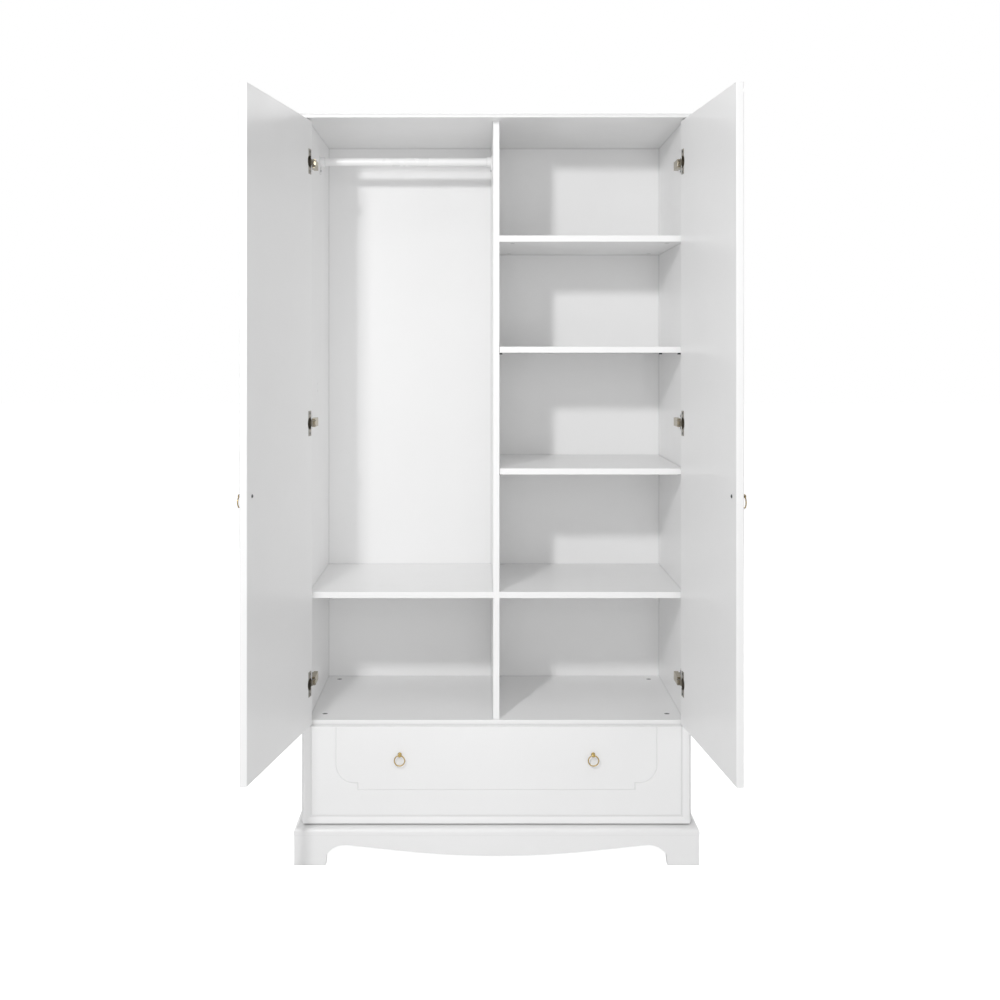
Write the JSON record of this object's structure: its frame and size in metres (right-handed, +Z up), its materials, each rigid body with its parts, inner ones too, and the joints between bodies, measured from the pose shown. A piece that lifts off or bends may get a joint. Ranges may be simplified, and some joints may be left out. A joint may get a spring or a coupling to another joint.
{
  "type": "wardrobe with doors",
  "caption": "Tall white wardrobe with hinged doors, a hanging space, shelves, a wide lower drawer and a bracket-foot plinth.",
  "frame": {"origin": "on the floor at the middle of the wardrobe's back, where the floor meets the wall", "axes": "+Z up, -Y out of the front towards the person who opens it, +X to that person's right"},
  "size_m": [1.1508, 1.0011, 1.946],
  "materials": {
    "white_lacquer": "satin white lacquer on fibreboard",
    "white_back_sheet": "matt white painted hardboard",
    "white_foil_board": "matt white foil on board",
    "white_steel": "white powder coat",
    "polished_brass": "polished, lacquered",
    "plated_steel": "warm nickel plating",
    "slide_steel": "bright zinc plating",
    "zinc_fittings": "grey zinc"
  },
  "bodies": {
    "carcass": {"side_panel_left": "white_lacquer", "side_panel_right": "white_lacquer", "back_panel_left": "white_back_sheet", "back_panel_right": "white_back_sheet", "centre_divider": "white_lacquer", "deck_panel": "white_lacquer", "fixed_shelf_left": "white_lacquer", "fixed_shelf_right_lower": "white_lacquer", "fixed_shelf_right_upper": "white_lacquer", "cam_locks": "zinc_fittings", "adjustable_shelf_upper": "white_lacquer", "adjustable_shelf_lower": "white_lacquer", "shelf_pins": "zinc_fittings", "top_panel": "white_lacquer", "base_panel": "white_lacquer", "plinth_front": "white_lacquer", "plinth_side_left": "white_lacquer", "plinth_side_right": "white_lacquer", "plinth_back": "white_foil_board", "plinth_blocks": "white_foil_board", "hanging_rail": "white_steel", "rail_bracket_left": "white_steel", "rail_bracket_right": "white_steel", "rail_screws": "zinc_fittings", "hinge_plates": "plated_steel", "plate_screws": "zinc_fittings", "hinge_arms": "plated_steel", "hinge_pins": "plated_steel", "slide_cabinet_left": "slide_steel", "slide_cabinet_right": "slide_steel"},
    "left_door": {"door_panel_left": "white_lacquer", "hinge_cups_left": "plated_steel", "cup_screws_left": "zinc_fittings", "pull_post_door_left": "polished_brass", "pull_screw_door_left": "zinc_fittings"},
    "left_door_ring": {"pull_ring_door_left": "polished_brass"},
    "left_hinge_links": {"hinge_links_left": "plated_steel"},
    "right_door": {"door_panel_right": "white_lacquer", "hinge_cups_right": "plated_steel", "cup_screws_right": "zinc_fittings", "pull_post_door_right": "polished_brass", "pull_screw_door_right": "zinc_fittings"},
    "right_door_ring": {"pull_ring_door_right": "polished_brass"},
    "right_hinge_links": {"hinge_links_right": "plated_steel"},
    "drawer": {"drawer_front": "white_lacquer", "drawer_side_left": "white_foil_board", "drawer_side_right": "white_foil_board", "drawer_inner_front": "white_foil_board", "drawer_back": "white_foil_board", "drawer_bottom": "white_back_sheet", "pull_post_drawer_left": "polished_brass", "pull_post_drawer_right": "polished_brass", "pull_screws_drawer": "zinc_fittings", "slide_drawer_left": "slide_steel", "slide_drawer_right": "slide_steel"},
    "left_drawer_ring": {"pull_ring_drawer_left": "polished_brass"},
    "left_slide_middle": {"slide_middle_left": "slide_steel"},
    "right_drawer_ring": {"pull_ring_drawer_right": "polished_brass"},
    "right_slide_middle": {"slide_middle_right": "slide_steel"}
  },
  "joints": [
    {"name": "left_door_hinge", "type": "hinge", "parent": "carcass", "child": "left_door", "pos_m": [-0.4957, -0.508, 1.142], "axis": [0, 0, 1], "range_deg": [-10.4, 99.6]},
    {"name": "right_door_hinge", "type": "hinge", "parent": "carcass", "child": "right_door", "pos_m": [0.4957, -0.508, 1.142], "axis": [0, 0, -1], "range_deg": [-14.8, 95.2]},
    {"name": "drawer_slide", "type": "slide", "parent": "carcass", "child": "drawer", "axis": [0, -1, 0], "range_m": [0, 0.4]},
    {"name": "left_hinge_link_turn", "type": "hinge", "parent": "carcass", "child": "left_hinge_links", "pos_m": [-0.4747, -0.4985, 1.142], "axis": [0, 0, 1], "range_deg": [-61.5, 6.47]},
    {"name": "left_slide_middle_run", "type": "slide", "parent": "carcass", "child": "left_slide_middle", "axis": [0, -1, 0], "range_m": [0, 0.2]},
    {"name": "right_hinge_link_turn", "type": "hinge", "parent": "carcass", "child": "right_hinge_links", "pos_m": [0.4747, -0.4985, 1.142], "axis": [0, 0, -1], "range_deg": [-58.79, 9.18]},
    {"name": "right_slide_middle_run", "type": "slide", "parent": "carcass", "child": "right_slide_middle", "axis": [0, -1, 0], "range_m": [0, 0.2]},
    {"name": "left_door_ring_swing", "type": "hinge", "parent": "left_door", "child": "left_door_ring", "pos_m": [-0.58806, -0.9581, 1.001], "axis": [0.1668, 0.986, 0], "range_deg": [-19, 199]},
    {"name": "right_door_ring_swing", "type": "hinge", "parent": "right_door", "child": "right_door_ring", "pos_m": [0.55325, -0.96386, 1.001], "axis": [0.0906, -0.9959, 0], "range_deg": [-19, 199]},
    {"name": "left_drawer_ring_swing", "type": "hinge", "parent": "drawer", "child": "left_drawer_ring", "pos_m": [-0.252, -0.524, 0.279], "axis": [-1, 0, 0], "range_deg": [-19, 199]},
    {"name": "right_drawer_ring_swing", "type": "hinge", "parent": "drawer", "child": "right_drawer_ring", "pos_m": [0.252, -0.524, 0.279], "axis": [-1, 0, 0], "range_deg": [-19, 199]}
  ],
  "couplings": [
    {"joint": "left_hinge_link_turn", "follows": "left_door_hinge", "ratio": -0.617},
    {"joint": "left_slide_middle_run", "follows": "drawer_slide", "ratio": 0.5},
    {"joint": "right_hinge_link_turn", "follows": "right_door_hinge", "ratio": -0.617},
    {"joint": "right_slide_middle_run", "follows": "drawer_slide", "ratio": 0.5}
  ]
}
